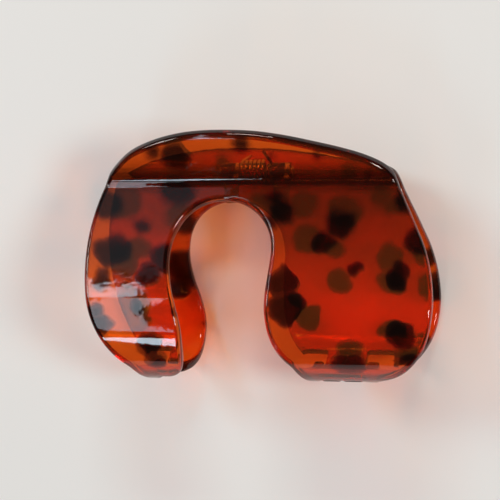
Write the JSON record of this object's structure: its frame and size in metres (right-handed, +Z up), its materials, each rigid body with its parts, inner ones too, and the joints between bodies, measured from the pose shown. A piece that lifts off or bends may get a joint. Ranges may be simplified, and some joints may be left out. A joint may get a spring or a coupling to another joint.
{
  "type": "claw clip",
  "caption": "Arch-shaped hair claw clip: two bent-sheet jaws with interleaving teeth and flared levers on a sprung hinge pin.",
  "frame": {"origin": "on the surface the closed clip lies on, under the middle of its width and height", "axes": "+X along the hinge pin towards the wide leg, +Y from the teeth to the levers, +Z up from the back jaw to the front jaw"},
  "size_m": [0.0993, 0.0721, 0.0384],
  "materials": {
    "shell": "polished translucent tortoiseshell acetate, amber with dark brown spots",
    "lug": "moulded dark amber plastic",
    "steel": "bright drawn spring steel"
  },
  "bodies": {
    "back": {"back_jaw": "shell", "back_lug_left": "lug", "back_lug_right": "lug", "hinge_pin": "steel", "torsion_spring": "steel"},
    "front": {"front_jaw": "shell", "front_lug_left": "lug", "front_lug_right": "lug", "spring_front_leg": "steel"}
  },
  "joints": [
    {"name": "jaw_hinge", "type": "hinge", "parent": "back", "child": "front", "pos_m": [0, 0.02506, 0.0192], "axis": [-1, 0, 0], "range_deg": [0, 105], "stiffness_Nm_per_rad": 0.1, "springref_deg": -60.16}
  ]
}
